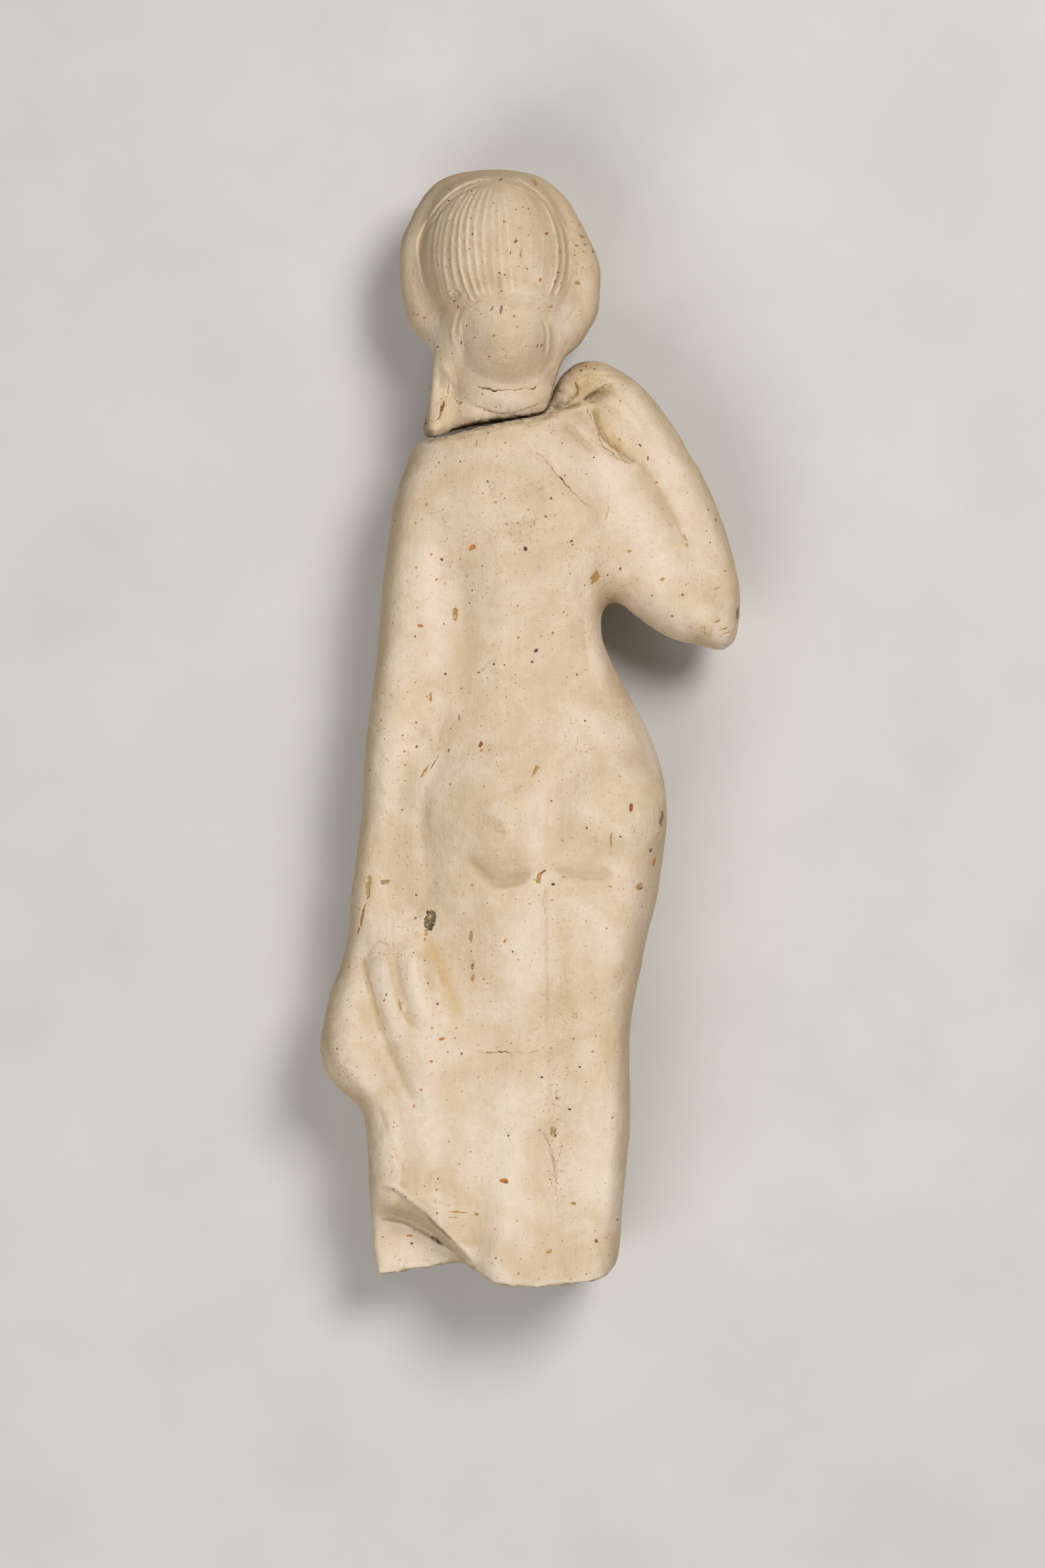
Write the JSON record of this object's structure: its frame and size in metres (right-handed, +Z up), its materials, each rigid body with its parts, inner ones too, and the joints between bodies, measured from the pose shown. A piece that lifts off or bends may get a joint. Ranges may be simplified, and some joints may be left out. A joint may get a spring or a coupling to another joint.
{
  "type": "venus figurine",
  "caption": "Moulded pipeclay figurine of a standing nude woman, one arm raised to her hair and drapery beside the leg, broken at neck and shins, lying face down.",
  "frame": {"origin": "middle of the two fragments' outline, on the surface they lie on", "axes": "+Y from the broken legs to the crown, +X to the side of the raised arm, +Z up, which is the figure's back"},
  "size_m": [0.0607, 0.1603, 0.0293],
  "materials": {
    "pipeclay": "matt, unglazed, worn and stained"
  },
  "bodies": {
    "root": {"body": "pipeclay", "head": "pipeclay"}
  },
  "joints": []
}
